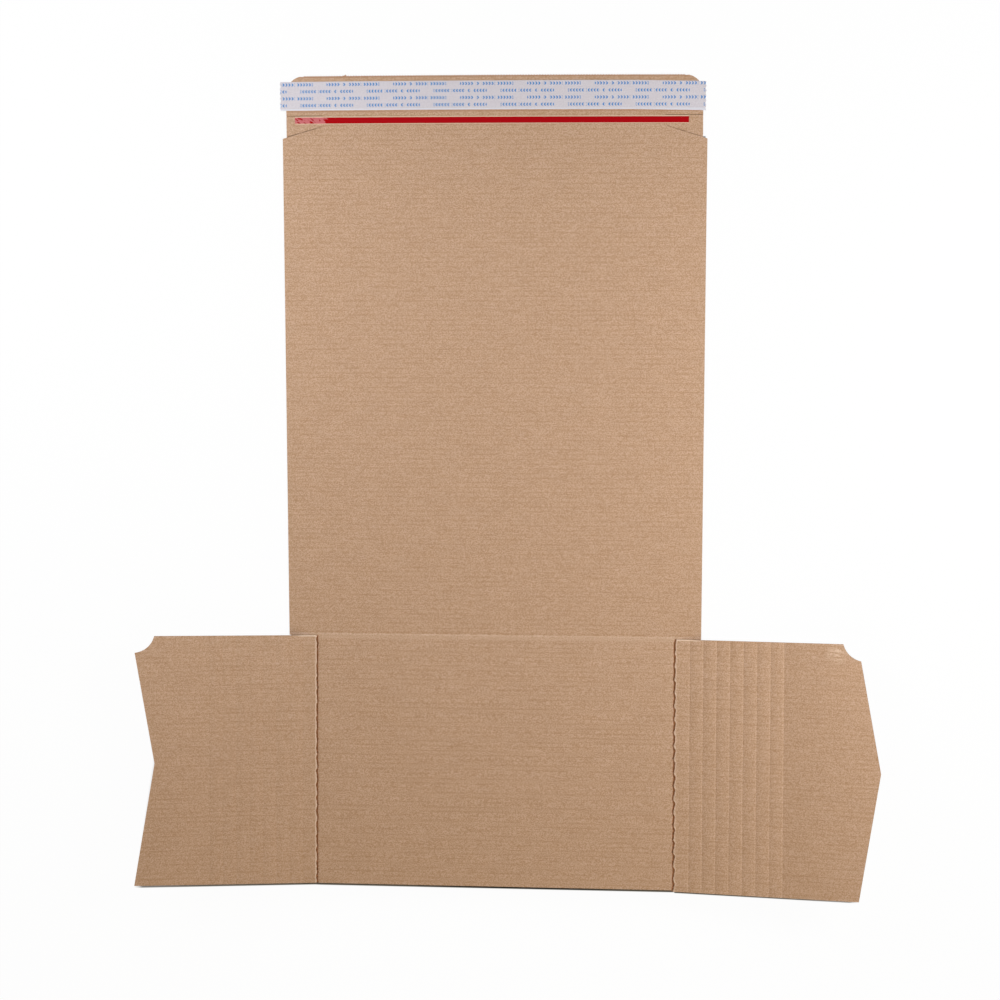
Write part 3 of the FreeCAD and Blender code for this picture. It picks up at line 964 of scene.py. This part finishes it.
# Where the film has let go it has a haze, and glare is painted there too.
glare_and_haze = calculate(tree, "MULTIPLY", ramp(tree, frayed, haze_end + haze_fade, haze_end), loose)
share = calculate(tree, "DIVIDE", x, half_wrap)
sag = calculate(tree, "MULTIPLY_ADD", calculate(tree, "MULTIPLY", share, share), -tape_sag, tape_sag)
off_middle = calculate(tree, "ADD", calculate(tree, "SUBTRACT", y, tape_middle - tape_drop), sag)
past_red = calculate(tree, "SUBTRACT", calculate(tree, "ABSOLUTE", off_middle), red_width / 2)
margin = ramp(tree, past_red, *margin_edge)
film_colour = tint(tree, margin, tint(tree, glare_and_haze, tape_red, glare_and_haze_red), clear_film)
tree.links.new(film_colour, shader.inputs["Base Color"])
finish_piece(tape, "tear_tape", tear_film, "tear_strip")


# --- Room ------------------------------------------------------------------------------------------
# Not part of the mailer: a pale floor, soft studio lamps and a camera above. The floor shows as nearly
# plain white, which hides almost all of the lamps' shadow on it. The shade close under the board is
# painted on the floor, and its outline is fitted.

floor_size = 12
floor_drop = 0.1 * mm
floor_paint_white = (0.9, 0.9, 0.9, 1)
floor_paint_shade = (0.27, 0.27, 0.29, 1)
floor_paint_deep = (0.11, 0.11, 0.12, 1)
deep_from, deep_to, deep_fade = -20 * mm, 55 * mm, 50 * mm
white_near = 0.97
white_far = 0.03
white_far_fade = 0.8
far_across = (-0.5, 0.5)
far_along = (-0.7, 0.5)
no_limit = 1.0
edge_fade = 0.6 * mm
crease_y = -wrap_length / 2
wrap_foot = crease_y - 3 * mm
lead_shoulder = -crease_y - 45 * mm
lead_round = -crease_y - 14 * mm
left_inset = 0.2 * mm
right_inset = 1.6 * mm
tray_end = board_low.y - 5.7 * mm
tray_side_fade = 30 * mm
flap_end = tray_end + 0.3 * mm
flap_end_rise = {-1: 5.6 * mm / half_base, 1: 4.9 * mm / half_base}
right_step = 0.8 * mm
flap_shade = {-1: half_base + 122 * mm, 1: half_base + 132 * mm}
flap_shade_fade = 7 * mm
left_widens_from = crease_y - flap_cuts[-1][2]
left_widens = 0.17
flap_back = crease_y - 50 * mm
flap_back_fade = 40 * mm
flap_lightens_over = 2500 * mm

floor_mesh = bmesh.new()
bmesh.ops.create_grid(floor_mesh, x_segments=1, y_segments=1, size=floor_size)
bmesh.ops.translate(floor_mesh, vec=(0, 0, -floor_drop), verts=list(floor_mesh.verts))
floor_data = bpy.data.meshes.new("studio_floor")
floor_mesh.to_mesh(floor_data)
floor_mesh.free()
floor = bpy.data.objects.new("studio_floor", floor_data)
bpy.context.scene.collection.objects.link(floor)
floor_paint = bpy.data.materials.new("floor_paint")
floor_paint.use_nodes = True
paint = floor_paint.node_tree
floor_shader = paint.nodes["Principled BSDF"]
floor_shader.inputs["Specular IOR Level"].default_value = 0
floor_place = add_node(paint, "ShaderNodeSeparateXYZ")
paint.links.new(add_node(paint, "ShaderNodeTexCoord").outputs["Object"], floor_place.inputs[0])


def on_floor(operation, *values):
    """A Math node of the floor's paint."""
    return calculate(paint, operation, *values)


def beyond(axis, low, high):
    """How far the floor's place lies outside low to high on an axis, in metres."""
    middle = on_floor("SUBTRACT", floor_place.outputs[axis], (low + high) / 2)
    away = on_floor("SUBTRACT", on_floor("ABSOLUTE", middle), (high - low) / 2)
    return on_floor("MAXIMUM", away, 0.0)


# past_wrap, past_tray and past_flap are about 0 where the floor lies in a panel's shade, and 1 or more
# where it is white again.
past_wrap = beyond("X", -half_wrap + left_inset, half_wrap - right_inset)
past_wrap = on_floor("ADD", past_wrap, beyond("Y", wrap_foot, lead_shoulder))
past_lead = beyond("X", -half_lead + left_inset, half_lead - right_inset)
past_lead = on_floor("ADD", past_lead, beyond("Y", wrap_foot, lead_round))
past_wrap = on_floor("DIVIDE", on_floor("MINIMUM", past_wrap, past_lead), edge_fade)
past_side = on_floor("DIVIDE", beyond("X", -half_base, half_base), tray_side_fade)
past_front = on_floor("DIVIDE", beyond("Y", tray_end, wrap_foot), edge_fade)
past_tray = on_floor("ADD", past_side, past_front)
out_left = beyond("X", -half_base, no_limit)
out_right = beyond("X", -no_limit, half_base)
left_rise = on_floor("MULTIPLY", out_left, flap_end_rise[-1])
right_rise = on_floor("MULTIPLY", out_right, flap_end_rise[1])
right_rise = on_floor("ADD", right_rise, on_floor("MINIMUM", out_right, right_step))
rise = on_floor("ADD", left_rise, right_rise)
past_flap = on_floor("SUBTRACT", beyond("Y", flap_end, no_limit), rise)
past_flap = on_floor("DIVIDE", on_floor("MAXIMUM", past_flap, 0.0), edge_fade)
left_wider = on_floor("MULTIPLY", beyond("Y", left_widens_from, no_limit), left_widens)
past_left = on_floor("SUBTRACT", beyond("X", -flap_shade[-1], no_limit), left_wider)
past_left = on_floor("MAXIMUM", past_left, 0.0)
past_end = on_floor("ADD", past_left, beyond("X", -no_limit, flap_shade[1]))
past_flap = on_floor("ADD", past_flap, on_floor("DIVIDE", past_end, flap_shade_fade))
past_back = on_floor("DIVIDE", beyond("Y", -no_limit, flap_back), flap_back_fade)
past_flap = on_floor("ADD", past_flap, past_back)
lighter = on_floor("DIVIDE", beyond("X", -half_base, half_base), flap_lightens_over)
past_flap = on_floor("ADD", past_flap, lighter)
past_all = on_floor("MINIMUM", past_wrap, on_floor("MINIMUM", past_tray, past_flap))
deep = ramp(paint, beyond("X", deep_from, deep_to), deep_fade, 0)
shade_colour = tint(paint, deep, floor_paint_shade, floor_paint_deep)
floor_colour = tint(paint, ramp(paint, past_all, 1, 0), floor_paint_white, shade_colour)
paint.links.new(floor_colour, floor_shader.inputs["Base Color"])


def white_to_camera(tree, lit_shader, white_share):
    """Mix a lit surface with plain white for rays that only look at it."""
    path = add_node(tree, "ShaderNodeLightPath").outputs
    looks = calculate(tree, "ADD", path["Is Camera Ray"], path["Is Glossy Ray"])
    looks = calculate(tree, "ADD", looks, path["Is Transmission Ray"])
    looks = calculate(tree, "MULTIPLY", calculate(tree, "MINIMUM", looks, 1.0), white_share)
    white = add_node(tree, "ShaderNodeEmission")
    blend = add_node(tree, "ShaderNodeMixShader")
    tree.links.new(looks, blend.inputs[0])
    tree.links.new(lit_shader, blend.inputs[1])
    tree.links.new(white.outputs[0], blend.inputs[2])
    return blend.outputs[0]


near_share = on_floor("MULTIPLY", ramp(paint, past_all, 0, 1), white_near)
far_off = on_floor("MAXIMUM", beyond("X", *far_across), beyond("Y", *far_along))
far_share = ramp(paint, far_off, 0.0, white_far_fade)
floor_share = on_floor("MULTIPLY_ADD", far_share, white_far, near_share)
seen = white_to_camera(paint, floor_shader.outputs[0], floor_share)
paint.links.new(seen, paint.nodes["Material Output"].inputs["Surface"])
floor_data.materials.append(floor_paint)

air_light = 0.1
world = bpy.data.worlds.new("studio_air")
world.use_nodes = True
air = world.node_tree
air.nodes["Background"].inputs["Strength"].default_value = air_light
sky = white_to_camera(air, air.nodes["Background"].outputs[0], 1.0)
air.links.new(sky, air.nodes["World Output"].inputs["Surface"])
bpy.context.scene.world = world

lamp_aim = Vector((0, -0.1, 0))


def hang_lamp(name, place, size, power, colour):
    """A square soft lamp of this size in metres and power in watts, aimed at the mailer."""
    lamp_data = bpy.data.lights.new(name, "AREA")
    lamp_data.shape = "SQUARE"
    lamp_data.size = size
    lamp_data.energy = power
    lamp_data.color = colour
    lamp = bpy.data.objects.new(name, lamp_data)
    lamp.location = place
    lamp.rotation_euler = (Vector(place) - lamp_aim).to_track_quat("Z", "Y").to_euler()
    lamp.visible_camera = False
    bpy.context.scene.collection.objects.link(lamp)


# The side lamps are close to white and the front one is warm, so colours come out a little warmer.
hang_lamp("right_softbox", (0.59, 0.03, 0.48), size=0.3, power=4.05, colour=(0.99, 1, 1.01))
hang_lamp("left_softbox", (-0.46, 0.19, 0.43), size=0.3, power=2.55, colour=(0.97, 1, 1.04))
hang_lamp("front_softbox", (0.0, -1.0, 0.75), size=0.9, power=4.4, colour=(1.0, 0.83, 0.56))

camera_data = bpy.data.cameras.new("camera")
camera_data.lens = 73.5
camera = bpy.data.objects.new("camera", camera_data)
camera.location = (0.1211, 0.0809, 1.5057)
camera_turn = (-7.003, 4.439, -0.148)
camera.rotation_euler = Euler([math.radians(angle) for angle in camera_turn])
bpy.context.scene.collection.objects.link(camera)
bpy.context.scene.camera = camera
bpy.context.scene.view_settings.view_transform = "Standard"
